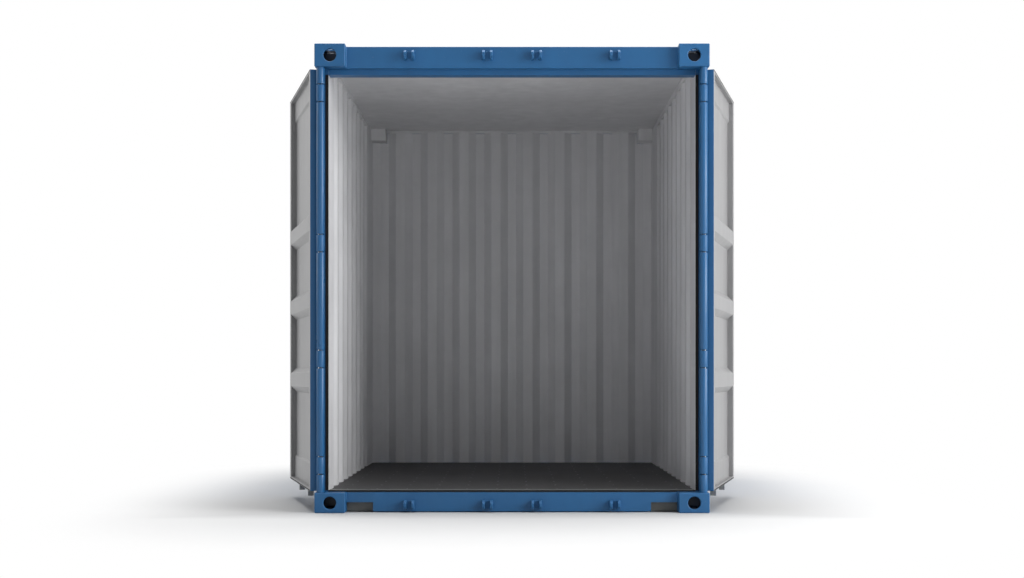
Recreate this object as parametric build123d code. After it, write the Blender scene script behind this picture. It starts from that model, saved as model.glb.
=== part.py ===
from build123d import *
import os

# A ten-foot high-cube shipping container, standing on its four lower corner castings.
# X runs to the right and Y into the container, seen from the door end. Z runs up.
# The origin is the middle of the footprint, on the ground. Millimetres.
# Most shapes are made for the right side and mirrored. Depth is measured inwards
# from the plane that the door-end castings touch.

# Overall size
length = 2991.0
width = 2438.0
height = 2896.0
half_length = length / 2
half_width = width / 2

# Corner castings
casting_width = 190.0
casting_length = 178.0
casting_height = 125.0
top_casting_height = 143.0
casting_wall = 26.0
end_hole_radius = 39.0
side_hole_width = 51.0
side_hole_height = 70.0
side_hole_flats = 6
slot_length = 124.0
slot_width = 63.5
slot_from_side = 89.5
slot_from_end = 102.0

# Door opening: its edges, the header over it and the sill under it
frame_plate = 6.0
front_face_depth = 57.0
seat_depth = 97.0
opening_half = half_width - 76.0
opening_top = height - 176.0
header_top = height - 9.0
header_step = height - top_casting_height
sill_bottom = 5.0
sill_shelf = casting_height - 3.0
sill_lip = 12.0
sill_top = sill_shelf + sill_lip
sill_notch_width = 167.0
sill_notch_height = 62.0

# Door posts and hinges
pin_side = half_width - 35.0
pin_depth = 28.0
pin_radius = 10.0
pin_flats = 12
pin_fit = 0.05
bead_radius = 25.0
bead_back = 15.0
web_inner = pin_side - 18.0
web_thickness = 12.0
hinge_heights = (293.0, 950.0, height - 1231.0, height - 304.0)
knuckle_height = 103.0
knuckle_gap = 6.0
blade_length = 84.0
blade_thickness = 10.0
blade_taper = 18.0

# Rubber strips, and the room that a swinging leaf leaves everywhere
swing_gap = 5.0
strip_width = 18.0
strip_thickness = 5.0
seal_proud = 3.0
seal_reach = 8.0
seal_start = 20.0

# Door leaves
leaf_thickness = 50.0
leaf_outer = seat_depth - strip_thickness - swing_gap - leaf_thickness
leaf_inner = leaf_outer + leaf_thickness
leaf_hinge_side = pin_side - bead_radius - 9.0
leaf_meeting_side = 14.0
leaf_bottom = casting_height + swing_gap + seal_proud
leaf_top = header_step - swing_gap - seal_proud
leaf_height = leaf_top - leaf_bottom
stile_width = 56.0
leaf_wall = 3.0
top_rail_height = 136.0
bottom_rail_height = 146.0
rail_recess = 27.0
rail_lip = 13.0
panel_recess = 37.0
panel_sheet = 2.0
panel_landing = 6.0
panel_step = 14.0
band_centres = (0.363, 0.548, 0.738)
band_flat = 90.0
band_slope = 38.0
open_angle = 255.0

# Lock gear on the leaves' outer faces
leaf_width = leaf_hinge_side - leaf_meeting_side
rod_shares = (0.1215, 0.5485)
rod_sides = [leaf_meeting_side + share * leaf_width for share in rod_shares]
rod_depth = 20.0
rod_radius = 14.5
rod_fit = 0.5
rod_overhang = 25.0
tongue_width = 12.0
tongue_half_depth = 19.0
tongue_root = 10.0
tongue_bite = 15.0
guide_centres = (0.094, 0.454, 0.66, 0.92)
guide_strap = 4.0
guide_foot = 22.0
guide_height = 40.0
handle_centre = 0.61
handle_room = 85.0
handle_length = rod_sides[1] - rod_sides[0] - handle_room
handle_thickness = 10.0
handle_height = 32.0
handle_offset = 10.0
handle_bend = 45.0
hub_height = 44.0
hub_wall = 6.0
catch_width = 30.0
catch_inset = 20.0

# Cam keepers on the header and the sill
keeper_width = 66.0
keeper_height = 54.0
keeper_gap = 32.0
keeper_base = 4.0
keeper_front = 4.0
keeper_chamfer = 16.0
header_keeper_middle = height - 65.0
sill_keeper_middle = 48.0

# Side walls and end wall
wall_inner = opening_half + 2.0
wall_sheet = 2.0
side_depth = 36.0
side_first_flat = 370.0
side_flat = 70.0
side_slope = 66.0
rear_face = length - 6.0
rear_rail = rear_face - 60.0
end_near = rear_rail + 5.0
end_depth = 42.0
end_near_flat = 76.0
end_far_flat = 66.0
end_slope = 60.0

# Rails, floor and roof
rail_outer = half_width - 6.0
rail_plate = 6.0
side_rail_bottom = height - 81.0
side_rail_top = height - 21.0
rear_rail_bottom = height - 60.0
lower_rail_bottom = 20.0
lower_rail_top = casting_height + 1.0
floor_top = casting_height + 2.0
floor_thickness = 28.0
member_width = 45.0
member_plate = 4.0
member_count = 9
first_member = casting_length + 90.0
last_member = length - casting_length - 60.0
ceiling = height - 46.0
roof_sheet = 2.0
roof_rib_height = 20.0
roof_rib_flat = 90.0
roof_rib_slope = 20.0
roof_rib_pitch = 209.0
roof_edge = 60.0

# How far a cut runs past the face that it opens
past = 1.0


def depth(value):
    """Y of a point that lies this far behind the door-end plane."""
    return value - half_length


def block(x0, x1, d0, d1, z0, z1):
    """A block between two sides, two depths and two heights."""
    middle = Pos((x0 + x1) / 2, depth((d0 + d1) / 2), (z0 + z1) / 2)
    return middle * Box(x1 - x0, d1 - d0, z1 - z0)


def rod(x, d, z0, z1, radius):
    """An upright round bar."""
    return Pos(x, depth(d), (z0 + z1) / 2) * Cylinder(radius, z1 - z0)


def mirrored(shape):
    """The same piece, or pieces, on the left side."""
    if isinstance(shape, list):
        return [mirror(piece, about=Plane.YZ) for piece in shape]
    return mirror(shape, about=Plane.YZ)


def folded(points, thickness):
    """Outline of a sheet folded along the points, with its thickness on their left."""
    line = [Vector(*point) for point in points]
    back = []
    for index, point in enumerate(line):
        before = line[max(index - 1, 0)]
        after = line[min(index + 1, len(line) - 1)]
        way_in = (point - before).normalized() if index else (after - point).normalized()
        way_out = (after - point).normalized() if index < len(line) - 1 else way_in
        normal = Vector(-way_in.Y, way_in.X)
        other = Vector(-way_out.Y, way_out.X)
        both = normal + other
        back.append(point + both * (thickness / (1 + normal.dot(other))))
    return make_face(Polyline(*line, *reversed(back), close=True))


def along_x(face, x0, x1):
    """Extrude a profile drawn as depth and height, from x0 to x1."""
    placed = Plane(origin=(x0, -half_length, 0), x_dir=(0, 1, 0), z_dir=(1, 0, 0)) * face
    return extrude(placed, amount=x1 - x0)


def inwards(face, d0, d1):
    """Extrude a profile drawn as side and height, from depth d0 to depth d1."""
    placed = Plane(origin=(0, depth(d1), 0), x_dir=(1, 0, 0), z_dir=(0, -1, 0)) * face
    return extrude(placed, amount=d1 - d0)


def upwards(face, z0, z1):
    """Extrude a profile drawn as side and depth, from z0 to z1."""
    return extrude(Pos(0, -half_length, z0) * face, amount=z1 - z0)


def tube(x0, x1, d0, d1, z0, z1, wall, along):
    """A square tube that is open at both ends, along axis X, Y or Z."""
    grow = [-past if axis == along else wall for axis in "XYZ"]
    inner = block(
        x0 + grow[0], x1 - grow[0],
        d0 + grow[1], d1 - grow[1],
        z0 + grow[2], z1 - grow[2],
    )
    return block(x0, x1, d0, d1, z0, z1) - inner


def save(name, shape):
    """Write one piece, or like pieces on one body, to its own file."""
    if isinstance(shape, list):
        shape = Compound(children=shape)
    export_step(shape, f"parts/{name}.step")


def casting_space(top, rear):
    """The block that a right-hand corner casting fills."""
    z0 = header_step if top else 0.0
    z1 = height if top else casting_height
    d0 = length - casting_length if rear else 0.0
    return block(half_width - casting_width, half_width, d0, d0 + casting_length, z0, z1)


def side_hole():
    """Outline of a side hole. Its round ends are cut into flats, which keeps the faces few."""
    radius = side_hole_width / 2
    rise = side_hole_height / 2 - radius
    points = []
    for start, middle in ((0, rise), (180, -rise)):
        for step in range(side_hole_flats + 1):
            spoke = Vector(radius, 0).rotate(Axis.Z, start + step * 180 / side_hole_flats)
            points.append(spoke + Vector(0, middle))
    return make_face(Polyline(*points, close=True))


def corner_casting(top, rear):
    """A hollow right-hand corner casting with its end hole, side hole and slot."""
    z0 = header_step if top else 0.0
    z1 = height if top else casting_height
    middle_x = half_width - casting_width / 2
    middle_z = (z0 + z1) / 2
    d0 = length - casting_length if rear else 0.0
    end = length if rear else 0.0
    slot_depth = length - slot_from_end if rear else slot_from_end
    cavity = block(
        half_width - casting_width + casting_wall, half_width - casting_wall,
        d0 + casting_wall, d0 + casting_length - casting_wall,
        z0 + casting_wall, z1 - casting_wall,
    )
    reach = casting_wall + past
    end_hole = Pos(middle_x, middle_z) * Circle(end_hole_radius)
    end_cut = inwards(end_hole, end - reach, end + reach)
    side_cut = along_x(
        Pos(slot_depth, middle_z) * side_hole(), half_width - reach, half_width + past
    )
    slot = Pos(half_width - slot_from_side, slot_depth) * SlotOverall(
        slot_length, slot_width, rotation=90
    )
    slot_z = z1 if top else z0
    slot_cut = upwards(slot, slot_z - reach, slot_z + reach)
    return casting_space(top, rear) - cavity - end_cut - side_cut - slot_cut


def door_header():
    """Folded header: a proud upper face, a set-back seal seat and a deep soffit."""
    profile = folded(
        [
            (casting_length, ceiling),
            (casting_length, opening_top),
            (seat_depth, opening_top),
            (seat_depth, header_step),
            (front_face_depth, header_step),
            (front_face_depth, header_top),
            (casting_length, header_top),
        ],
        -frame_plate,
    )
    right = casting_space(True, False)
    return along_x(profile, -opening_half, opening_half) - right - mirrored(right)


def door_sill():
    """Folded sill: a front plate notched beside each casting, and a web with a raised lip."""
    front = folded(
        [
            (front_face_depth, sill_bottom),
            (front_face_depth, sill_shelf),
            (seat_depth, sill_shelf),
        ],
        -frame_plate,
    )
    back = folded(
        [
            (seat_depth, sill_bottom),
            (seat_depth, sill_top),
            (casting_length, sill_top),
            (casting_length, lower_rail_bottom),
        ],
        -frame_plate,
    )
    side = half_width - casting_width
    notch = block(
        side - sill_notch_width, side + past,
        0, seat_depth, 0, sill_notch_height,
    )
    casting = casting_space(False, False)
    plate = along_x(front, -opening_half, opening_half) - notch - mirrored(notch)
    return plate + along_x(back, -opening_half, opening_half) - casting - mirrored(casting)


def door_post():
    """Right door post: a hollow box, a web and a round-nosed bead that carries the hinges."""
    z0 = casting_height
    z1 = header_step
    web_outer = web_inner + web_thickness
    post = tube(opening_half, web_outer, seat_depth, casting_length, z0, z1, frame_plate, "Z")
    post += block(web_inner, web_outer, pin_depth, seat_depth, z0, z1)
    nose = Pos(pin_side, pin_depth) * Circle(bead_radius)
    behind = Pos(pin_side, pin_depth + bead_radius) * Rectangle(2 * bead_radius, 2 * bead_radius)
    back = Pos(pin_side, pin_depth + bead_back / 2) * Rectangle(2 * bead_radius, bead_back)
    post += upwards(nose - behind + back, z0, z1)
    room = bead_radius + knuckle_gap
    for middle in hinge_heights:
        reach = knuckle_height / 2 + knuckle_gap
        post -= block(
            pin_side - room, pin_side + room, pin_depth - room, pin_depth + room,
            middle - reach, middle + reach,
        )
    return post


def hinge_pins():
    """The four right-hand hinge pins, each held between the beads above and below it."""
    reach = knuckle_height / 2 + knuckle_gap
    section = Pos(pin_side, pin_depth) * RegularPolygon(pin_radius, pin_flats)
    return [upwards(section, middle - reach, middle + reach) for middle in hinge_heights]


def post_strip():
    """Flat rubber strip on the right post's seal seat."""
    return block(
        opening_half, opening_half + strip_width,
        seat_depth - strip_thickness, seat_depth, sill_top, opening_top,
    )


def sill_strip():
    """Flat rubber strip on the front of the sill's lip."""
    return block(
        -opening_half, opening_half,
        seat_depth - strip_thickness, seat_depth, casting_height, sill_top,
    )


def cam_keeper(x, middle):
    """A keeper on the header or sill: a base plate and two upright ears, cut off in front."""
    z0 = middle - keeper_height / 2
    z1 = middle + keeper_height / 2
    base_depth = front_face_depth - keeper_base
    keeper = block(
        x - keeper_width / 2, x + keeper_width / 2, base_depth, front_face_depth, z0, z1
    )
    side = make_face(
        Polyline(
            (base_depth, z0),
            (keeper_front + keeper_chamfer, z0),
            (keeper_front, z0 + keeper_chamfer),
            (keeper_front, z1 - keeper_chamfer),
            (keeper_front + keeper_chamfer, z1),
            (base_depth, z1),
            close=True,
        )
    )
    ear_width = (keeper_width - keeper_gap) / 2
    for start in (-keeper_width / 2, keeper_gap / 2):
        keeper += along_x(side, x + start, x + start + ear_width)
    return keeper


def leaf_rail(edge, panel_end):
    """A leaf's hollow rail: a full-depth lip at the leaf's edge and a set-back face beside it."""
    way = 1 if edge > panel_end else -1
    lip = edge - way * rail_lip
    recess = leaf_inner - rail_recess
    outline = [
        (leaf_outer, panel_end), (leaf_outer, edge), (leaf_inner, edge),
        (leaf_inner, lip), (recess, lip), (recess, panel_end),
    ]
    outer = make_face(Polyline(*outline, close=True))
    face = outer - offset(outer, amount=-leaf_wall, kind=Kind.INTERSECTION)
    return along_x(face, leaf_meeting_side + stile_width, leaf_hinge_side - stile_width)


def leaf_frame():
    """Right leaf, closed: two hollow stiles with a hollow rail between them at each end."""
    frame = leaf_rail(leaf_top, leaf_top - top_rail_height)
    frame += leaf_rail(leaf_bottom, leaf_bottom + bottom_rail_height)
    for side in (leaf_meeting_side, leaf_hinge_side - stile_width):
        frame += tube(
            side, side + stile_width, leaf_outer, leaf_inner,
            leaf_bottom, leaf_top, leaf_wall, "Z",
        )
    return frame


def leaf_panel():
    """Right leaf's pressed sheet: three raised bands, flush with the stiles."""
    recess = leaf_inner - rail_recess
    deep = leaf_inner - panel_recess
    z0 = leaf_bottom + bottom_rail_height
    z1 = leaf_top - top_rail_height
    top_landing = z1 - panel_landing
    bottom_landing = z0 + panel_landing
    points = [(recess, z1), (recess, top_landing), (deep, top_landing - panel_step)]
    for share in band_centres:
        middle = leaf_top - share * leaf_height
        high = middle + band_flat / 2
        low = middle - band_flat / 2
        points += [
            (deep, high + band_slope), (leaf_inner, high), (leaf_inner, low), (deep, low - band_slope)
        ]
    points += [(deep, bottom_landing + panel_step), (recess, bottom_landing), (recess, z0)]
    face = folded(points, -panel_sheet)
    return along_x(face, leaf_meeting_side + stile_width, leaf_hinge_side - stile_width)


def leaf_seal():
    """Right leaf's rubber: one strip over the top, the meeting edge and the bottom."""
    middle = (leaf_outer + leaf_inner) / 2
    end = leaf_hinge_side - seal_start
    outer = block(
        leaf_meeting_side - seal_reach, end, middle, leaf_inner,
        leaf_bottom - seal_proud, leaf_top + seal_proud,
    )
    inner = block(
        leaf_meeting_side, end + past, middle - past, leaf_inner + past, leaf_bottom, leaf_top
    )
    return outer - inner


def leaf_hinges():
    """Right leaf's hinges: a bored knuckle and a tapered blade on the hinge stile."""
    hinges = []
    for middle in hinge_heights:
        z0 = middle - knuckle_height / 2
        z1 = middle + knuckle_height / 2
        knuckle = rod(pin_side, pin_depth, z0, z1, bead_radius)
        blade = make_face(
            Polyline(
                (pin_side, z0),
                (pin_side, z1),
                (pin_side - blade_length, z1 - blade_taper),
                (pin_side - blade_length, z0 + blade_taper),
                close=True,
            )
        )
        knuckle += inwards(blade, leaf_outer - blade_thickness, leaf_outer)
        hinges.append(knuckle - rod(pin_side, pin_depth, z0 - past, z1 + past, pin_radius + pin_fit))
    return hinges


def lock_rods():
    """Right leaf's two lock rods, with a flat tongue at each end for the keepers."""
    rods = []
    z0 = leaf_bottom - rod_overhang
    z1 = leaf_top + rod_overhang
    lowest = sill_keeper_middle + keeper_height / 2 - tongue_bite
    highest = header_keeper_middle - keeper_height / 2 + tongue_bite
    for x in rod_sides:
        bar = rod(x, rod_depth, z0, z1, rod_radius)
        for low, high in ((lowest, z0 + tongue_root), (z1 - tongue_root, highest)):
            bar += block(
                x - tongue_width / 2, x + tongue_width / 2,
                rod_depth - tongue_half_depth, rod_depth + tongue_half_depth, low, high,
            )
        rods.append(bar)
    return rods


def rod_guides():
    """Folded straps that hold the right leaf's rods to its pressed sheet."""
    guides = []
    sheet = leaf_inner - panel_recess - panel_sheet
    reach = rod_radius + rod_fit
    for x in rod_sides:
        strap = folded(
            [
                (x - reach - guide_foot, sheet),
                (x - reach, sheet),
                (x - reach, rod_depth - reach),
                (x + reach, rod_depth - reach),
                (x + reach, sheet),
                (x + reach + guide_foot, sheet),
            ],
            -guide_strap,
        )
        for share in guide_centres:
            z0 = leaf_top - share * leaf_height - guide_height / 2
            guides.append(upwards(strap, z0, z0 + guide_height))
    return guides


def lock_handles():
    """Right leaf's two handles: a clip round each rod, a cranked flat bar and its catch."""
    handles = []
    sheet = leaf_inner - panel_recess - panel_sheet
    middle = leaf_top - handle_centre * leaf_height
    reach = rod_radius + rod_fit
    for x in rod_sides:
        clip = folded(
            [
                (x - reach, rod_depth + reach),
                (x - reach, rod_depth - reach),
                (x + reach, rod_depth - reach),
                (x + reach, rod_depth + reach),
            ],
            -guide_strap,
        )
        start = x + reach + guide_strap
        end = x + handle_length
        crank = rod_depth - handle_offset
        bar = folded(
            [
                (start - past, rod_depth),
                (start + handle_bend, rod_depth),
                (start + 2 * handle_bend, crank),
                (end - 2 * handle_bend, crank),
                (end - handle_bend, rod_depth),
                (end, rod_depth),
            ],
            handle_thickness,
        )
        catch = block(
            end - catch_inset - catch_width, end - catch_inset,
            rod_depth + handle_thickness, sheet,
            middle - handle_height / 2, middle + handle_height / 2,
        )
        handle = upwards(clip, middle - hub_height / 2, middle + hub_height / 2)
        handle += upwards(bar, middle - handle_height / 2, middle + handle_height / 2)
        handles.append(handle + catch)
    return handles


def opened(shape):
    """Swing a piece of the closed right leaf about its hinge pins to the open pose."""
    pin = Pos(pin_side, depth(pin_depth), 0)
    swing = pin * Rot(0, 0, open_angle) * pin.inverse()
    if isinstance(shape, list):
        return [swing * piece for piece in shape]
    return swing * shape


def side_wall():
    """Right side wall: a pressed sheet with upright trapezoid waves."""
    end = length - casting_length
    pitch = 2 * side_slope + 2 * side_flat
    count = int((end - side_first_flat) // pitch)
    outer = wall_inner + side_depth
    points = [(wall_inner, casting_length), (wall_inner, side_first_flat)]
    for wave in range(count):
        start = side_first_flat + wave * pitch
        points += [
            (outer, start + side_slope),
            (outer, start + side_slope + side_flat),
            (wall_inner, start + 2 * side_slope + side_flat),
            (wall_inner, start + pitch),
        ]
    points[-1] = (wall_inner, end)
    return upwards(folded(points, -wall_sheet), lower_rail_top, side_rail_bottom)


def end_wall():
    """End wall: a pressed sheet with upright trapezoid waves, even about the middle."""
    pitch = 2 * end_slope + end_far_flat + end_near_flat
    count = int((2 * wall_inner + end_near_flat) // pitch)
    first = -(count * pitch - end_near_flat) / 2
    far = end_near + end_depth
    points = [(-wall_inner, end_near)]
    for wave in range(count):
        x = first + wave * pitch
        points += [
            (x, end_near),
            (x + end_slope, far),
            (x + end_slope + end_far_flat, far),
            (x + 2 * end_slope + end_far_flat, end_near),
        ]
    points.append((wall_inner, end_near))
    sheet = upwards(folded(points, wall_sheet), casting_height, rear_rail_bottom)
    corner = casting_space(True, True)
    return sheet - corner - mirrored(corner)


def top_side_rail():
    """Right top side rail: a square tube between the upper castings."""
    return tube(
        wall_inner, rail_outer, casting_length, length - casting_length,
        side_rail_bottom, side_rail_top, rail_plate, "Y",
    )


def bottom_side_rail():
    """Right bottom side rail: a channel that opens inwards."""
    start = casting_length
    end = length - casting_length
    hollow = block(
        wall_inner - past, rail_outer - rail_plate, start - past, end + past,
        lower_rail_bottom + rail_plate, lower_rail_top - rail_plate,
    )
    return block(wall_inner, rail_outer, start, end, lower_rail_bottom, lower_rail_top) - hollow


def rear_post():
    """Right rear post: a hollow box between the rear castings."""
    return tube(
        wall_inner, rail_outer, length - casting_length, rear_face,
        casting_height, header_step, rail_plate, "Z",
    )


def rear_top_rail():
    """Square tube over the end wall, between the upper rear castings."""
    side = half_width - casting_width
    return tube(-side, side, rear_rail, rear_face, rear_rail_bottom, header_top, rail_plate, "X")


def rear_bottom_rail():
    """Channel under the end wall, between the lower rear castings."""
    side = half_width - casting_width
    hollow = block(
        -side - past, side + past, rear_rail - past, rear_face - rail_plate,
        lower_rail_bottom + rail_plate, casting_height - rail_plate,
    )
    return block(-side, side, rear_rail, rear_face, lower_rail_bottom, casting_height) - hollow


def floor_slab():
    """Plywood floor from the sill to the rear bottom rail, fitted round the castings."""
    slab = block(
        -wall_inner, wall_inner, casting_length, rear_rail, floor_top - floor_thickness, floor_top
    )
    corner = casting_space(False, True)
    return slab - corner - mirrored(corner)


def cross_members():
    """Channels under the floor, between the bottom side rails."""
    members = []
    reach = rail_outer - rail_plate
    step = (last_member - first_member) / (member_count - 1)
    z0 = lower_rail_bottom + rail_plate
    z1 = floor_top - floor_thickness
    for index in range(member_count):
        d0 = first_member + index * step - member_width / 2
        d1 = d0 + member_width
        profile = folded([(d1, z0), (d0, z0), (d0, z1), (d1, z1)], -member_plate)
        members.append(along_x(profile, -reach, reach))
    return members


def roof_panel():
    """Roof sheet with shallow ribs pressed upwards across it."""
    rib = roof_rib_flat + 2 * roof_rib_slope
    count = int((rear_rail - casting_length - 2 * roof_edge - rib) // roof_rib_pitch) + 1
    start = (casting_length + rear_rail) / 2 - ((count - 1) * roof_rib_pitch + rib) / 2
    top = ceiling + roof_sheet
    sheet = block(-wall_inner, wall_inner, casting_length, rear_rail, ceiling, top)
    for index in range(count):
        low = start + index * roof_rib_pitch
        crown = make_face(
            Polyline(
                (low, top),
                (low + roof_rib_slope, ceiling + roof_rib_height),
                (low + roof_rib_slope + roof_rib_flat, ceiling + roof_rib_height),
                (low + rib, top),
                close=True,
            )
        )
        sheet += along_x(crown, -wall_inner + roof_edge, wall_inner - roof_edge)
    corner = casting_space(True, True)
    return sheet - corner - mirrored(corner)


os.makedirs("parts", exist_ok=True)

for rear in (False, True):
    end_name = "rear" if rear else "door_end"
    for top in (False, True):
        level = "top" if top else "bottom"
        casting = corner_casting(top, rear)
        save(f"{end_name}_{level}_casting_right", casting)
        save(f"{end_name}_{level}_casting_left", mirrored(casting))

paired = {
    "door_post": door_post(),
    "hinge_pins": hinge_pins(),
    "side_wall": side_wall(),
    "top_side_rail": top_side_rail(),
    "bottom_side_rail": bottom_side_rail(),
    "rear_post": rear_post(),
    "door_frame": opened(leaf_frame()),
    "door_panel": opened(leaf_panel()),
    "door_seal": opened(leaf_seal()),
    "door_hinges": opened(leaf_hinges()),
    "door_lock_rods": opened(lock_rods()),
    "door_rod_guides": opened(rod_guides()),
    "door_handles": opened(lock_handles()),
}
for name, shape in paired.items():
    save(f"{name}_right", shape)
    save(f"{name}_left", mirrored(shape))

keepers = []
for middle in (header_keeper_middle, sill_keeper_middle):
    for side in rod_sides:
        keepers.append(cam_keeper(-side, middle))
        keepers.append(cam_keeper(side, middle))

save("door_header", door_header())
save("door_sill", door_sill())
save("cam_keepers", keepers)
save("post_seals", [post_strip(), mirrored(post_strip())])
save("sill_seal", sill_strip())
save("end_wall", end_wall())
save("rear_top_rail", rear_top_rail())
save("rear_bottom_rail", rear_bottom_rail())
save("floor", floor_slab())
save("cross_members", cross_members())
save("roof", roof_panel())
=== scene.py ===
import bpy
import random
from math import cos, pi, radians, sin
from mathutils import Matrix, Vector


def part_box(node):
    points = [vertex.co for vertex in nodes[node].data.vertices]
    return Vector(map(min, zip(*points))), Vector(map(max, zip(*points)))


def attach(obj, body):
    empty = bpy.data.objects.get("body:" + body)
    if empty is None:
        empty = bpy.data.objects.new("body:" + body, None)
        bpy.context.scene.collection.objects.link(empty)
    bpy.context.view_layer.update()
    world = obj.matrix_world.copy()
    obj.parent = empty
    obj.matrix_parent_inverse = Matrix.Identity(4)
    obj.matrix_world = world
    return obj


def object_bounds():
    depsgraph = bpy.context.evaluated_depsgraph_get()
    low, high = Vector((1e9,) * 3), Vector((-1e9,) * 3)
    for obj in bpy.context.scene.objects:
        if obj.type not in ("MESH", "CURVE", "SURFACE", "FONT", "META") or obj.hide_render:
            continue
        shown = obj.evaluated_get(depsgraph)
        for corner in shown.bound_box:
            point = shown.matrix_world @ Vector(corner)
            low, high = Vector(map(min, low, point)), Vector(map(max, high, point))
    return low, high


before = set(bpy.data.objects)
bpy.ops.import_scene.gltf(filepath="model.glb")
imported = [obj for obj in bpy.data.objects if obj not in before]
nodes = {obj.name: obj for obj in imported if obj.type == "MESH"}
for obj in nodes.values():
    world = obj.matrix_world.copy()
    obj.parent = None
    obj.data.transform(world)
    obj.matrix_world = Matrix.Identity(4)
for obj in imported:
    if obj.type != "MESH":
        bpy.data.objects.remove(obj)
cad_low, cad_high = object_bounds()
sides = (("left", -1), ("right", 1))

# The photograph's view: straight at the door end, with the lens shifted up.
# Distance and height in metres, lens and sensor in millimetres.
camera_distance = 8.78
camera_height = 0.867
lens = 50.1
sensor = 36.0
shift_up = 0.0815
view_limit = 200

# Places in the frame, in metres. Depths start at the door-end plane, which is the
# front of the castings, and sides start at the middle.
door_plane = cad_low[1]
ground = cad_low[2]
wall_inner = 1.145
wall_outer = 1.183
inside_bottom = 0.120
ceiling = 2.850
header_depth = 0.057
seat_depth = 0.097
casting_depth = 0.178
casting_inner = 1.029
lower_casting_top = 0.125
upper_casting_bottom = 2.753
end_near = door_plane + 2.930
pin_side = 1.184
pin_depth = 0.028
open_angle = 255.0

# Masks: how far the surface has to look along the way asked for, and the room left for
# rounding, for the waves behind the inner faces, at the sill's lip and at a leaf's edges
faces_way = 0.5
faces_a_little = 0.02
not_facing_away = -0.1
slack = 0.0005
sheet_slack = 0.0006
wave_room = 0.034
sill_lip = 0.005
edge_room = 0.002

# Waves of the side walls, from the first one on
first_wave = 0.370
wave_flat = 0.070
wave_slope = 0.066
wave_depth = 0.036
wave_count = 8

# Door leaf, closed: sides, heights and depths. A share is counted down from its top.
leaf_edges = (0.014, 1.150)
leaf_heights = (0.133, 2.745)
leaf_height = leaf_heights[1] - leaf_heights[0]
leaf_inner_depth = 0.087
door_sheet_depth = 0.048
panel_depth = 0.050
band_shares = (0.363, 0.548, 0.738)
band_half = 0.045
band_slope = 0.038
rod_sides = (0.152, 0.637)
rod_depth = 0.020
guide_shares = (0.094, 0.454, 0.66, 0.92)
guide_foot_side = 0.029
hinge_heights = (0.293, 0.950, 1.665, 2.592)
blade_face_depth = 0.027

# Bolts: how far the blades' bolts lie from the pin, how deep the guides' bolts sit,
# and the size of each kind. Profiles are pairs of rise and radius, as shares of it.
blade_bolts = (0.048, 0.072)
blade_bolt_size = 0.009
guide_bolt_size = 0.0085
guide_foot_thickness = 0.004
washer_profile = ((-0.001, 1.15), (0.0012, 1.15), (0.0018, 1.08))
head_profile = ((0.1, 1.0), (0.62, 1.0), (0.74, 0.86))

# Ring on a lock rod: its distance from the guide, and its rises and radii
collar_start = 0.022
collar_profile = (
    (0.0, 0.0148), (0.0, 0.0185), (0.002, 0.0195), (0.010, 0.0195), (0.012, 0.0185),
    (0.012, 0.0148),
)

# Ledge beside the floor: its gap to the wall, how far it bites into the rail, and its rise
ledge_gap = 0.001
ledge_bite = 0.0005
ledge_rise = 0.0012

# Rubber lip: room at its ends, widths along a leaf's top and bottom, and its section as
# pairs of rise and share of the width
gasket_room = (0.001, 0.021)
gasket_widths = (0.0035, 0.0065)
gasket_section = (
    (0.0, 0.0), (0.0010, 0.15), (0.0016, 0.35), (0.0010, 0.55), (0.0016, 0.78), (0.0, 1.0),
)

# Floor boards: gap at each edge, how far they stand up and how far down they reach,
# their bevel, and the room left at the walls, at the door and at the end wall
board_gap = 0.0015
board_lift = 0.0014
board_root = 0.002
board_bevel = 0.0008
board_side_room = 0.004
board_front_room = 0.003
board_rear_room = 0.128

# Screws: one row on each beam, clear of the boards' rear edge. The profile gives
# radii and rises.
beam_count = 9
beam_width = 0.045
screw_count = 12
screw_pitch = 0.19
screw_rise = 0.0002
screw_edge_room = 0.02
screw_profile = (
    (0.0062, -0.002), (0.0062, 0.0), (0.0052, 0.0004), (0.0026, 0.0004), (0.0018, -0.0010),
)

# Welds: size, bite into the steel, step along the bead, and how much the size ripples
# and wanders. Then the ends of each bead on the header and the sill (heights), on the
# seat (sides), on the posts' outer sides (depths), and on their rear face (sides)
weld_size = 0.005
weld_bite = 0.001
weld_step = 0.006
weld_ripple = 0.12
weld_turn = 2.1
weld_chance = 0.08
header_weld = (2.756, 2.884)
sill_weld = (0.070, 0.119)
seat_weld = (1.150, 1.174)
post_side = 1.178
post_weld = (0.060, 0.175)
rear_side = 1.213
rear_weld = (2.816, 2.982)
rear_face = 2.985
rear_face_weld = (1.150, 1.208)

# Edge radii, by a word in the node's name
edge_radii = {
    "casting": 0.006, "door_post": 0.002, "rail": 0.003, "header": 0.0029, "sill": 0.0029,
    "rear_post": 0.003, "keepers": 0.003, "door_frame": 0.0014, "handles": 0.002,
    "hinges": 0.002, "guides": 0.0018,
}
join_distance = 0.00002
edge_angle = 35

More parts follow.
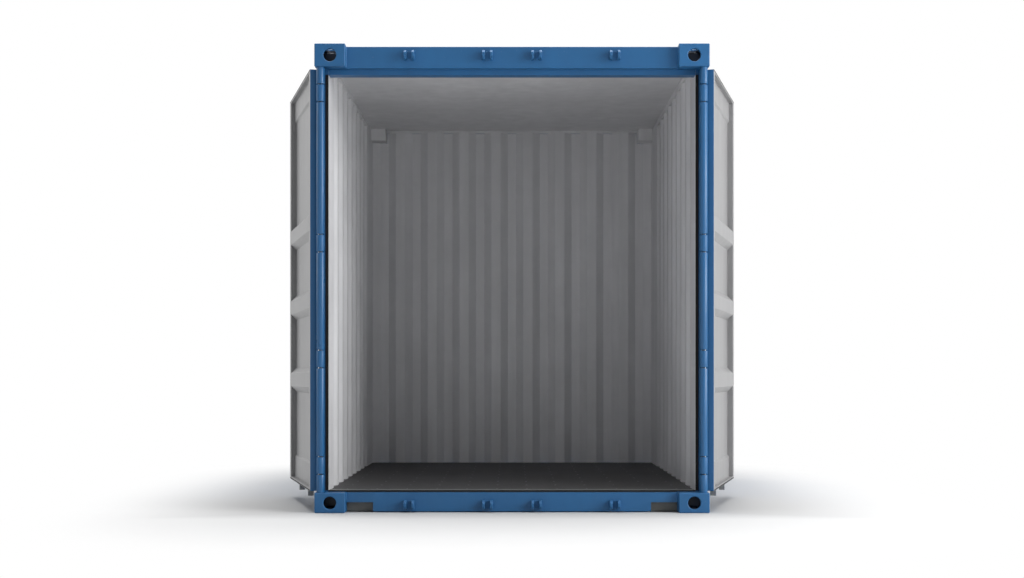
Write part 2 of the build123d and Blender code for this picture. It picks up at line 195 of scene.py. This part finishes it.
# Colours, linear
white = (1, 1, 1, 1)
blue = (0.0165, 0.112, 0.276, 1)
hollow_blue = (0.003, 0.010, 0.028, 1)
wall_grey = (0.75, 0.75, 0.765, 1)
door_grey = (0.26, 0.26, 0.265, 1)
retainer_grey = (0.42, 0.42, 0.43, 1)
primer_grey = (0.125, 0.130, 0.126, 1)
dust_grey = (0.30, 0.31, 0.32, 1)
board_grey = (0.028, 0.028, 0.030, 1)
board_grain = (0.038, 0.037, 0.038, 1)
board_wear = (0.052, 0.050, 0.049, 1)
undercoat_grey = (0.050, 0.052, 0.050, 1)
undercoat_dust = (0.09, 0.09, 0.086, 1)
rubber_black = (0.005, 0.005, 0.006, 1)
rubber_dust = (0.012, 0.012, 0.013, 1)
sealant_grey = (0.16, 0.16, 0.165, 1)
sealant_dirt = (0.10, 0.10, 0.10, 1)
zinc_grey = (0.42, 0.43, 0.44, 1)
zinc_cloud = (0.33, 0.34, 0.355, 1)
# Pins: dark steel, kept darker so that the gaps between the hinge knuckles show painted shade;
# the other tone is wear
pin_steel_and_shade = (0.035, 0.045, 0.060, 1)
pin_wear = (0.08, 0.09, 0.10, 1)
paint_dark = (0.90, 0.90, 0.90, 1)
paint_light = (1.06, 1.06, 1.06, 1)
ground_near = (0.56, 0.56, 0.56, 1)
ground_far = (0.86, 0.86, 0.86, 1)

# Least and most roughness of the paint
sheet_gloss = (0.34, 0.50)
post_gloss = (0.24, 0.34)
keeper_gloss = (0.52, 0.62)

# Lighting: the world, then each lamp's place, aim, size and power
world_light = (0.97, 0.985, 1.0, 1)
world_strength = 0.18
lamps = {
    "key": ((9.0, -6.5, 5.5), (0, 0, 1.2), 5.0, 470.0),
    "low_right": ((6.5, -6.5, 1.6), (0, 0, 1.2), 3.0, 95.0),
    "graze": ((8.0, -3.4, 2.6), (-1, -1, 1.3), 2.5, 225.0),
    "left_back": ((-8.0, 2.5, 4.0), (0, 0, 1.2), 5.0, 150.0),
    "top": ((0.0, 0.0, 9.0), (0, 0, 0), 8.0, 970.0),
}

# Ground: its reach, the container's half sizes along x and y with their weights, where
# the fade to white starts and ends, and how its grey pales away from the container. The
# last line is for the ground before the doors: least and most, and from where to where.
ground_reach = 60.0
ground_drop = 0.0005
ground_halves = (((1, 0, 0), 1.25, 1.0), ((0, 1, 0), 1.5, 0.75))
ground_fade = (0.45, 1.75)
ground_paling = 1.6
front_paling = (0.0, 0.7, -0.05, 0.35)


class Nodes:
    """A material's node tree, with short calls for the nodes used here."""

    def __init__(self, name):
        self.material = bpy.data.materials.new(name)
        self.material.use_nodes = True
        self.tree = self.material.node_tree
        self.shader = self.tree.nodes["Principled BSDF"]

    def plug(self, value, socket):
        """Set a number or a tuple on a socket, or link an output to it."""
        if isinstance(value, (int, float, tuple)):
            socket.default_value = value
        else:
            self.tree.links.new(value, socket)

    def add(self, kind, inputs, **settings):
        """A new node, with its settings, and its inputs by name or number."""
        node = self.tree.nodes.new(kind)
        for key, value in settings.items():
            setattr(node, key, value)
        for key, value in inputs.items():
            self.plug(value, node.inputs[key])
        return node

    def surface(self, inputs):
        """Set or link the shader's own inputs."""
        for key, value in inputs.items():
            self.plug(value, self.shader.inputs[key])

    def place(self, scale=(1, 1, 1)):
        """Object coordinates, stretched by scale."""
        source = self.add("ShaderNodeTexCoord", {})
        inputs = {"Vector": source.outputs["Object"], "Scale": scale}
        return self.add("ShaderNodeMapping", inputs).outputs["Vector"]

    def noise(self, scale, detail=4, roughness=0.5, stretch=(1, 1, 1)):
        return self.add("ShaderNodeTexNoise", {
            "Scale": scale, "Detail": detail, "Roughness": roughness,
            "Vector": self.place(stretch),
        }).outputs["Fac"]

    def ramp(self, factor, low, high, from_min=0.0, from_max=1.0, shape="LINEAR"):
        """Take the range from_min to from_max to the range low to high."""
        return self.add("ShaderNodeMapRange", {
            "Value": factor, "From Min": from_min, "From Max": from_max,
            "To Min": low, "To Max": high,
        }, interpolation_type=shape).outputs["Result"]

    def maths(self, operation, a, b=0.0):
        node = self.add("ShaderNodeMath", {0: a, 1: b}, operation=operation)
        return node.outputs["Value"]

    def mix(self, factor, first, second, blend="MIX"):
        """Mix of two colours."""
        inputs = {0: factor, 6: first, 7: second}
        node = self.add("ShaderNodeMix", inputs, data_type="RGBA", blend_type=blend)
        return node.outputs[2]

    def dot(self, first, second):
        inputs = {0: first, 1: second}
        node = self.add("ShaderNodeVectorMath", inputs, operation="DOT_PRODUCT")
        return node.outputs["Value"]

    def facing(self, way):
        """How far the surface looks along way, in the object's own axes."""
        normal = self.add("ShaderNodeNewGeometry", {}).outputs["True Normal"]
        turned = self.add(
            "ShaderNodeVectorTransform", {"Vector": normal},
            vector_type="NORMAL", convert_from="WORLD", convert_to="OBJECT",
        )
        return self.dot(turned.outputs["Vector"], way)

    def along(self, way, start=(0, 0, 0)):
        """Distance from start along way, in the object's own axes."""
        inputs = {0: self.place(), 1: start}
        away = self.add("ShaderNodeVectorMath", inputs, operation="SUBTRACT")
        return self.dot(away.outputs["Vector"], way)

    def between(self, value, low, high):
        """1 where the value lies between low and high, and 0 elsewhere."""
        above = self.maths("GREATER_THAN", value, low)
        return self.maths("MULTIPLY", above, self.maths("LESS_THAN", value, high))

    def all_of(self, first, *rest):
        """Product of all the factors."""
        for factor in rest:
            first = self.maths("MULTIPLY", first, factor)
        return first

    def bump(self, heights):
        """Chain of (height, strength, distance) bumps into the shader's normal."""
        last = {}
        for height, strength, distance in heights:
            inputs = {"Strength": strength, "Distance": distance, "Height": height}
            last = {"Normal": self.add("ShaderNodeBump", inputs | last).outputs["Normal"]}
        self.surface(last)


def leaf_axes(side):
    """An open leaf's way from its pin, and the way that its inner face looks."""
    turn = radians(open_angle)
    return (-side * cos(turn), -sin(turn), 0), (-side * sin(turn), cos(turn), 0)


def facing_mask(way, threshold=faces_a_little):
    """Mask of the faces that look along way."""
    return lambda tree: tree.maths("GREATER_THAN", tree.facing(way), threshold)


def deeper_mask(start):
    """Mask of what lies behind a depth."""
    return lambda tree: tree.maths("GREATER_THAN", tree.along((0, 1, 0)), door_plane + start)


def cargo_mask(front, reach=wall_inner, way=None, back=end_near):
    """Mask of what lies in the cargo space from a depth on, and looks along way."""
    def mask(tree):
        parts = [
            tree.between(tree.along((1, 0, 0)), -reach - slack, reach + slack),
            tree.between(tree.along((0, 1, 0)), door_plane + front, back + slack),
            tree.between(tree.along((0, 0, 1)), inside_bottom, ceiling + 2 * slack),
        ]
        if way is not None:
            parts.append(tree.maths("GREATER_THAN", tree.facing(way), faces_way))
        return tree.all_of(*parts)
    return mask


def leaf_mask(side):
    """Mask of a leaf frame's faces on the inner side of its sheet, without its outer edges.

    The sheet runs at the panel's depth, and at the inner depth in its bands.
    """
    direction, inner = leaf_axes(side)
    pin = (side * pin_side, door_plane + pin_depth, 0)
    outside = (pin[0] - inner[0] * pin_depth, pin[1] - inner[1] * pin_depth, 0)
    across = (pin_side - leaf_edges[1] + edge_room, pin_side - leaf_edges[0] - edge_room)
    upright = (leaf_heights[0] + edge_room, leaf_heights[1] - edge_room)

    def mask(tree):
        deepest = 0.0
        for share in band_shares:
            middle = leaf_heights[1] - share * leaf_height
            away = tree.maths("ABSOLUTE", tree.along((0, 0, 1), (0, 0, middle)))
            sheet = tree.ramp(
                away, leaf_inner_depth, panel_depth, band_half, band_half + band_slope
            )
            deepest = tree.maths("MAXIMUM", sheet, deepest)
        limit = tree.maths("SUBTRACT", deepest, sheet_slack)
        return tree.all_of(
            tree.maths("GREATER_THAN", tree.facing(inner), not_facing_away),
            tree.maths("GREATER_THAN", tree.along(inner, outside), limit),
            tree.between(tree.along(direction, pin), *across),
            tree.between(tree.along((0, 0, 1)), *upright),
        )
    return mask


def hollow_mask(name, inset=0.012):
    """Mask of what lies deeper than inset inside a node's box."""
    low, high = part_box(name)
    ways = ((1, 0, 0), (0, 1, 0), (0, 0, 1))

    def mask(tree):
        return tree.all_of(*(
            tree.between(tree.along(way), low[axis] + inset, high[axis] - inset)
            for axis, way in enumerate(ways)
        ))
    return mask


def without(mask, other):
    """What the first mask covers and the second does not."""
    return lambda tree: tree.all_of(mask(tree), tree.maths("SUBTRACT", 1.0, other(tree)))


def retainer_mask(side):
    """Mask of the strip that holds the rubber on a leaf's meeting edge."""
    pin = (side * pin_side, door_plane + pin_depth, 0)
    start = pin_side - leaf_edges[0] - edge_room
    return lambda tree: tree.maths("GREATER_THAN", tree.along(leaf_axes(side)[0], pin), start)


def paint(name, colour, inner=None, mask=None, gloss=sheet_gloss):
    """Sprayed paint on steel, with another colour where the mask is 1."""
    tree = Nodes(name)
    shade = tree.noise(1.7, detail=5, roughness=0.6)
    streak = tree.noise(9.0, detail=3, stretch=(1, 1, 0.08))
    speck = tree.noise(70.0, detail=3, roughness=0.7)
    grain = tree.noise(420.0, detail=2)
    wave = tree.noise(5.5, detail=2)
    base = colour if inner is None else tree.mix(mask(tree), colour, inner)
    dark = tree.mix(1.0, base, paint_dark, "MULTIPLY")
    light = tree.mix(1.0, base, paint_light, "MULTIPLY")
    tone = tree.ramp(tree.maths("MULTIPLY", shade, streak), 0.0, 1.0, 0.12, 0.42)
    dust = tree.ramp(speck, 0.0, 0.35, 0.68, 0.80)
    tree.surface({
        "Base Color": tree.mix(dust, tree.mix(tone, dark, light), dust_grey),
        "Roughness": tree.ramp(shade, *gloss),
        "Specular IOR Level": 0.42,
    })
    tree.bump([(wave, 0.08, 0.004), (grain, 0.10, 0.0006)])
    return tree.material


def rough_coat(name, colour, other, scale, roughness, strength, shine=0.5):
    """A matt material whose colour drifts between two tones over small lumps."""
    tree = Nodes(name)
    lumps = tree.noise(scale, detail=5)
    cloud = tree.noise(6.0, detail=5)
    drift = tree.maths(
        "MULTIPLY", tree.ramp(lumps, 0.0, 1.0, 0.3, 0.7), tree.ramp(cloud, 0.4, 1.0)
    )
    tree.surface({
        "Base Color": tree.mix(drift, colour, other),
        "Roughness": roughness,
        "Specular IOR Level": shine,
    })
    tree.bump([(lumps, strength, 0.0015)])
    return tree.material


def zinc_coat():
    """Dull galvanised steel with faint spangle."""
    tree = Nodes("zinc_coat")
    cells = tree.add("ShaderNodeTexVoronoi", {"Scale": 95.0, "Vector": tree.place()})
    cloud = tree.noise(11.0, detail=5)
    mottle = tree.mix(tree.ramp(cloud, 0.0, 1.0, 0.3, 0.7), zinc_grey, zinc_cloud)
    tree.surface({
        "Base Color": tree.mix(0.12, mottle, cells.outputs["Color"], "SOFT_LIGHT"),
        "Metallic": 0.85,
        "Roughness": tree.ramp(cloud, 0.42, 0.6),
    })
    tree.bump([(tree.noise(160.0), 0.1, 0.0006)])
    return tree.material


def floor_board():
    """Dark coated plywood: grain along the container and worn lanes."""
    tree = Nodes("floor_board")
    grain = tree.noise(26.0, detail=6, stretch=(6, 0.5, 1))
    wear = tree.noise(2.2, detail=5, stretch=(1, 0.6, 1))
    base = tree.mix(tree.ramp(grain, 0.0, 1.0, 0.3, 0.7), board_grey, board_grain)
    tree.surface({
        "Base Color": tree.mix(tree.ramp(wear, 0.0, 0.6, 0.45, 0.75), base, board_wear),
        "Roughness": tree.ramp(wear, 0.5, 0.7),
    })
    tree.bump([(grain, 0.2, 0.0015)])
    return tree.material


def two_tones():
    """Inner colour of each node that shows two colours, and the mask of where it shows."""
    under_roof = cargo_mask(
        casting_depth, wall_inner + wave_room, back=end_near + wave_room
    )
    tones = {
        "end_wall": (wall_grey, facing_mask((0, -1, 0))),
        "roof": (wall_grey, facing_mask((0, 0, -1), faces_way)),
        "rear_top_rail": (wall_grey, under_roof),
        "door_sill": (primer_grey, deeper_mask(seat_depth - sill_lip)),
    }
    for word, side in sides:
        inwards = (-side, 0, 0)
        down = (-side, 0, -1)
        rear_casting = "rear_top_casting_" + word
        under_casting = without(under_roof, hollow_mask(rear_casting))
        tones |= {
            "side_wall_" + word: (wall_grey, facing_mask(inwards)),
            "top_side_rail_" + word: (wall_grey, cargo_mask(casting_depth, wall_outer, down)),
            "rear_post_" + word: (wall_grey, cargo_mask(casting_depth)),
            rear_casting: (wall_grey, under_casting),
            "door_post_" + word: (wall_grey, cargo_mask(seat_depth + 2 * slack)),
            "door_frame_" + word: (door_grey, leaf_mask(side)),
            "door_panel_" + word: (door_grey, facing_mask(leaf_axes(side)[1])),
            "door_seal_" + word: (retainer_grey, retainer_mask(side)),
        }
        for place in ("door_end_top", "door_end_bottom", "rear_bottom"):
            name = f"{place}_casting_{word}"
            tones[name] = (hollow_blue, hollow_mask(name))
    return tones


def dress_all():
    """Give every CAD node its material, on its object's slots."""
    tones = two_tones()
    finish_words = {
        "seal": "rubber", "floor": "floor", "cross_members": "undercoat",
        "keepers": "keepers", "hinge_pins": "pins", "door_lock_rods": "zinc",
        "door_handles": "zinc", "door_rod_guides": "zinc",
    }
    for name, obj in nodes.items():
        if name in tones:
            outer = rubber_black if "seal" in name else blue
            gloss = post_gloss if name.startswith("door_post") else sheet_gloss
            material = paint(name + "_paint", outer, *tones[name], gloss)
        else:
            found = [finish for word, finish in finish_words.items() if word in name]
            material = finishes[found[0] if found else "frame"]
        if not obj.material_slots:
            obj.data.materials.append(material)
        for slot in obj.material_slots:
            slot.link = "OBJECT"
            slot.material = material


def soften_edges():
    """Round the cast, pressed and rolled edges a little, so that they catch the light.

    The CAD meshes are split at their sharp edges, so they are joined first. A casting's
    flats are short, so its bevel is neither clamped nor slid along them.
    """
    for name, obj in nodes.items():
        words = [word for word in edge_radii if word in name]
        if not words or "seal" in name:
            continue
        join = obj.modifiers.new("join", "WELD")
        join.merge_threshold = join_distance
        bevel = obj.modifiers.new("edge", "BEVEL")
        bevel.width = edge_radii[words[0]]
        bevel.use_clamp_overlap = words[0] != "casting"
        bevel.loop_slide = words[0] != "casting"
        bevel.segments = 3
        bevel.limit_method = "ANGLE"
        bevel.angle_limit = radians(edge_angle)
        bevel.harden_normals = True


def piece(name, points, faces, finish, body, smooth=False):
    """A new mesh piece that rides on a body."""
    mesh = bpy.data.meshes.new(name)
    mesh.from_pydata(points, [], faces)
    mesh.validate()
    mesh.update()
    if smooth:
        mesh.shade_smooth()
    mesh.materials.append(finish)
    obj = bpy.data.objects.new(name, mesh)
    bpy.context.collection.objects.link(obj)
    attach(obj, body)


def add_rings(points, faces, rings, capped=True):
    """Join rings of equal length into a skin, closed at both ends if capped."""
    start = len(points)
    count = len(rings[0])
    for ring in rings:
        points.extend(ring)
    for level in range(len(rings) - 1):
        base = start + level * count
        for index in range(count):
            after = (index + 1) % count
            faces.append((base + index, base + after, base + count + after, base + count + index))
    if capped:
        faces.append(tuple(range(start + count - 1, start - 1, -1)))
        top = start + (len(rings) - 1) * count
        faces.append(tuple(range(top, top + count)))


def circle(centre, across, up, radius, count):
    """Points round centre in the plane of two unit vectors."""
    return [
        centre + across * (radius * cos(2 * pi * index / count))
        + up * (radius * sin(2 * pi * index / count))
        for index in range(count)
    ]


def add_bolt(points, faces, centre, way, size):
    """A washer and a chamfered hexagon head that stand on centre along way."""
    way = way.normalized()
    across = way.orthogonal().normalized()
    up = way.cross(across)
    add_rings(points, faces, [
        circle(centre + way * rise, across, up, radius * size, 24)
        for rise, radius in washer_profile
    ])
    add_rings(points, faces, [
        circle(centre + way * (rise * size), across, up, radius * size, 6)
        for rise, radius in head_profile
    ])


def board_rows():
    """Front and rear end of each row of floor boards."""
    low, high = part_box("floor")
    middle = (low[1] + high[1]) / 2
    return (low[1] + board_front_room, middle), (middle, high[1] - board_rear_room)


def floor_boards():
    """Plywood sheets on the floor, with a seam between them."""
    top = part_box("floor")[1][2]
    edge = wall_inner - board_side_room
    number = 0
    for x0, x1 in ((-edge, 0.0), (0.0, edge)):
        for y0, y1 in board_rows():
            number += 1
            rings = []
            for inset, z in (
                (0.0, top - board_root), (0.0, top + board_lift - board_bevel),
                (board_bevel, top + board_lift),
            ):
                reach = board_gap + inset
                rings.append([
                    (x0 + reach, y0 + reach, z), (x1 - reach, y0 + reach, z),
                    (x1 - reach, y1 - reach, z), (x0 + reach, y1 - reach, z),
                ])
            points, faces = [], []
            add_rings(points, faces, rings)
            name = f"floor_board_{number}"
            piece(name, points, faces, finishes["floor"], "container")


def floor_screws():
    """A row of countersunk screws through the boards into each beam."""
    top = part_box("floor")[1][2] + board_lift + screw_rise
    low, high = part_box("cross_members")
    span = high[1] - low[1] - beam_width
    limit = board_rows()[1][1] - screw_edge_room
    across, up = Vector((1, 0, 0)), Vector((0, 1, 0))
    points, faces = [], []
    for beam in range(beam_count):
        y = low[1] + beam_width / 2 + span * beam / (beam_count - 1)
        if y > limit:
            continue
        for step in range(screw_count):
            x = (step - (screw_count - 1) / 2) * screw_pitch
            add_rings(points, faces, [
                circle(Vector((x, y, top)) + Vector((0, 0, rise)), across, up, radius, 16)
                for radius, rise in screw_profile
            ])
    piece("floor_screws", points, faces, finishes["zinc"], "container")


def wall_ledges():
    """Sealed ledge on each bottom rail, that fills the side wall's waves beside the floor."""
    rail_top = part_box("bottom_side_rail_right")[1][2]
    far = wall_inner + wave_depth - ledge_gap
    for word, side in sides:
        points, faces = [], []
        for wave in range(wave_count):
            start = first_wave + wave * 2 * (wave_slope + wave_flat)
            outline = (
                (wall_inner, start), (far, start + wave_slope),
                (far, start + wave_slope + wave_flat),
                (wall_inner, start + 2 * wave_slope + wave_flat),
            )
            rings = []
            for z in (rail_top - ledge_bite, rail_top + ledge_rise):
                ring = [(side * x, door_plane + d, z) for x, d in outline]
                rings.append(ring if side > 0 else ring[::-1])
            add_rings(points, faces, rings)
        name = f"wall_ledge_{word}"
        piece(name, points, faces, finishes["sealant"], "container")


def swing(side):
    """Matrix that takes a point of a closed right leaf to the open leaf on a side."""
    pin = Matrix.Translation((pin_side, door_plane + pin_depth, 0))
    turned = pin @ Matrix.Rotation(radians(open_angle), 4, "Z") @ pin.inverted()
    return Matrix.Scale(side, 4, (1, 0, 0)) @ turned


def door_bolts():
    """Bolts through the rod guides' feet and the hinge blades."""
    places = []
    for x in rod_sides:
        for share in guide_shares:
            z = leaf_heights[1] - share * leaf_height
            for foot in (-guide_foot_side, guide_foot_side):
                depth = door_sheet_depth - guide_foot_thickness
                places.append((x + foot, depth, z, guide_bolt_size))
    for z in hinge_heights:
        for distance in blade_bolts:
            places.append((pin_side - distance, blade_face_depth, z, blade_bolt_size))
    for word, side in sides:
        matrix = swing(side)
        way = matrix.to_3x3() @ Vector((0, -1, 0))
        points, faces = [], []
        for x, depth, z, size in places:
            centre = matrix @ Vector((x, door_plane + depth, z))
            add_bolt(points, faces, centre, way, size)
        name = f"door_bolts_{word}"
        piece(name, points, faces, finishes["zinc"], f"{word}_door")


def door_gaskets():
    """Ribbed rubber lip along the top and the bottom of each leaf's inner face."""
    lines = (
        (leaf_heights[1], gasket_widths[0], -1), (leaf_heights[0], gasket_widths[1], 1),
    )
    for word, side in sides:
        matrix = swing(side)
        points, faces = [], []
        for edge, width, way in lines:
            rings = []
            for x in (leaf_edges[0] + gasket_room[0], leaf_edges[1] - gasket_room[1]):
                ring = []
                for rise, share in gasket_section:
                    y = door_plane + leaf_inner_depth + rise
                    ring.append(matrix @ Vector((x, y, edge + way * width * share)))
                rings.append(ring if way * side > 0 else ring[::-1])
            add_rings(points, faces, rings)
        name = f"door_gasket_{word}"
        piece(name, points, faces, finishes["rubber"], f"{word}_door")


def rod_collars():
    """Rings on each lock rod, that stop it from sliding through its guides."""
    across, up = Vector((1, 0, 0)), Vector((0, 1, 0))
    for word, side in sides:
        matrix = swing(side)
        points, faces = [], []
        for x in rod_sides:
            for share, way in ((guide_shares[0], -1), (guide_shares[-1], 1)):
                start = leaf_heights[1] - share * leaf_height + way * collar_start
                centre = Vector((x, door_plane + rod_depth, start))
                rings = []
                for rise, radius in collar_profile:
                    ring = circle(centre + Vector((0, 0, way * rise)), across, up, radius, 32)
                    rings.append([matrix @ point for point in ring])
                add_rings(points, faces, rings, capped=False)
        name = f"rod_collars_{word}"
        piece(name, points, faces, finishes["zinc"], f"{word}_door")


def weld_beads():
    """Rippled fillet welds where the castings meet the header, the sill and the posts."""
    chance = random.Random(4)
    points, faces = [], []

    def bead(start, end, first, second):
        """A fillet between two faces that look along first and second."""
        start, end = Vector(start), Vector(end)
        first, second = Vector(first), Vector(second)
        count = max(4, int((end - start).length / weld_step))
        rings = []
        for step in range(count + 1):
            centre = start.lerp(end, step / count)
            ripple = weld_ripple * sin(step * weld_turn)
            grow = weld_size * (1.0 + ripple + chance.uniform(-weld_chance, weld_chance))
            rings.append([
                centre - (first + second) * weld_bite,
                centre + first * grow,
                centre + first * grow * 0.75 + second * grow * 0.35,
                centre + first * grow * 0.35 + second * grow * 0.75,
                centre + second * grow,
            ])
        add_rings(points, faces, rings)

    front = (0, -1, 0)
    header = door_plane + header_depth
    seat = door_plane + seat_depth
    rear = door_plane + rear_face
    for _, side in sides:
        x = side * casting_inner
        for low, high in (header_weld, sill_weld):
            bead((x, header, low), (x, header, high), (-side, 0, 0), front)
        for z, way in ((lower_casting_top, 1), (upper_casting_bottom, -1)):
            upright = (0, 0, way)
            near, far = (side * end for end in seat_weld)
            bead((near, seat, z), (far, seat, z), front, upright)
            for reach, depths in ((post_side, post_weld), (rear_side, rear_weld)):
                near, far = (door_plane + depth for depth in depths)
                x = side * reach
                bead((x, near, z), (x, far, z), (side, 0, 0), upright)
            near, far = (side * end for end in rear_face_weld)
            bead((near, rear, z), (far, rear, z), (0, 1, 0), upright)
    piece("weld_beads", points, faces, finishes["frame"], "container", smooth=True)


def studio():
    """White background for the camera and for reflections, and even light all round."""
    world = bpy.data.worlds.new("studio")
    bpy.context.scene.world = world
    world.use_nodes = True
    tree = world.node_tree
    tree.nodes.clear()
    path = tree.nodes.new("ShaderNodeLightPath")
    blend = tree.nodes.new("ShaderNodeMixShader")
    out = tree.nodes.new("ShaderNodeOutputWorld")
    for index, colour, strength in ((1, world_light, world_strength), (2, white, 1.0)):
        background = tree.nodes.new("ShaderNodeBackground")
        background.inputs["Color"].default_value = colour
        background.inputs["Strength"].default_value = strength
        tree.links.new(background.outputs[0], blend.inputs[index])
    shown = path.outputs["Is Camera Ray"]
    for ray in ("Is Glossy Ray", "Is Transmission Ray"):
        either = tree.nodes.new("ShaderNodeMath")
        either.operation = "MAXIMUM"
        tree.links.new(shown, either.inputs[0])
        tree.links.new(path.outputs[ray], either.inputs[1])
        shown = either.outputs[0]
    tree.links.new(shown, blend.inputs["Fac"])
    tree.links.new(blend.outputs[0], out.inputs["Surface"])


def lamp(name, place, aim, size, power):
    """A square area lamp that looks at aim."""
    data = bpy.data.lights.new(name, "AREA")
    data.shape = "SQUARE"
    data.size = size
    data.energy = power
    obj = bpy.data.objects.new(name, data)
    bpy.context.collection.objects.link(obj)
    obj.location = place
    obj.rotation_euler = (Vector(aim) - Vector(place)).to_track_quat("-Z", "Y").to_euler()


def ground_plane():
    """A pale floor that fades to the white background away from the container."""
    reach = ground_reach
    corners = [
        (x, y, ground)
        for x, y in ((-reach, -reach), (reach, -reach), (reach, reach), (-reach, reach))
    ]
    mesh = bpy.data.meshes.new("ground")
    mesh.from_pydata(corners, [], [(0, 1, 2, 3)])
    obj = bpy.data.objects.new("ground", mesh)
    bpy.context.collection.objects.link(obj)
    obj.location.z = -ground_drop
    tree = Nodes("ground")
    squares = []
    for way, half, weight in ground_halves:
        beyond = tree.maths("SUBTRACT", tree.maths("ABSOLUTE", tree.along(way)), half)
        share = tree.maths("MULTIPLY", tree.maths("MAXIMUM", beyond, 0.0), weight)
        squares.append(tree.maths("POWER", share, 2.0))
    away = tree.maths("SQRT", tree.maths("ADD", *squares))
    far = tree.ramp(away, 0.0, 1.0, *ground_fade, shape="SMOOTHSTEP")
    before = tree.ramp(tree.along((0, -1, 0), (0, door_plane, 0)), *front_paling)
    clean = tree.maths("MAXIMUM", tree.ramp(away, 0.0, 1.0, 0.0, ground_paling), before)
    tree.surface({
        "Base Color": tree.mix(clean, ground_near, ground_far),
        "Roughness": 0.9,
        "Specular IOR Level": 0.1,
    })
    path = tree.add("ShaderNodeLightPath", {})
    seen = tree.maths("MAXIMUM", path.outputs["Is Camera Ray"], path.outputs["Is Glossy Ray"])
    glow = tree.add("ShaderNodeEmission", {"Color": white})
    mix = tree.add("ShaderNodeMixShader", {
        "Fac": tree.maths("MULTIPLY", far, seen), 1: tree.shader.outputs[0], 2: glow.outputs[0],
    })
    tree.plug(mix.outputs[0], tree.tree.nodes["Material Output"].inputs["Surface"])
    mesh.materials.append(tree.material)


def photo_camera():
    """The camera of the photograph."""
    data = bpy.data.cameras.new("camera")
    data.lens = lens
    data.sensor_width = sensor
    data.shift_y = shift_up
    data.clip_end = view_limit
    obj = bpy.data.objects.new("camera", data)
    bpy.context.collection.objects.link(obj)
    obj.location = (0, door_plane - camera_distance, camera_height)
    obj.rotation_euler = (radians(90), 0, 0)
    bpy.context.scene.camera = obj


finishes = {
    "frame": paint("frame_paint", blue),
    "keepers": paint("keeper_paint", blue, gloss=keeper_gloss),
    "rubber": rough_coat("rubber", rubber_black, rubber_dust, 300.0, 0.75, 0.25, 0.25),
    "zinc": zinc_coat(),
    "floor": floor_board(),
    # The pins' dark colour paints shade into the gaps between the knuckles
    "pins": rough_coat("pin_steel_and_shade", pin_steel_and_shade, pin_wear, 200.0, 0.45, 0.1),
    "undercoat": rough_coat("undercoat", undercoat_grey, undercoat_dust, 60.0, 0.8, 0.4),
    "sealant": rough_coat("sealant", sealant_grey, sealant_dirt, 120.0, 0.6, 0.2),
}
dress_all()
soften_edges()
floor_boards()
floor_screws()
wall_ledges()
door_bolts()
door_gaskets()
rod_collars()
weld_beads()
studio()
for name, (place, aim, size, power) in lamps.items():
    lamp(name, place, aim, size, power)
ground_plane()
photo_camera()
bpy.context.scene.view_settings.view_transform = "Standard"
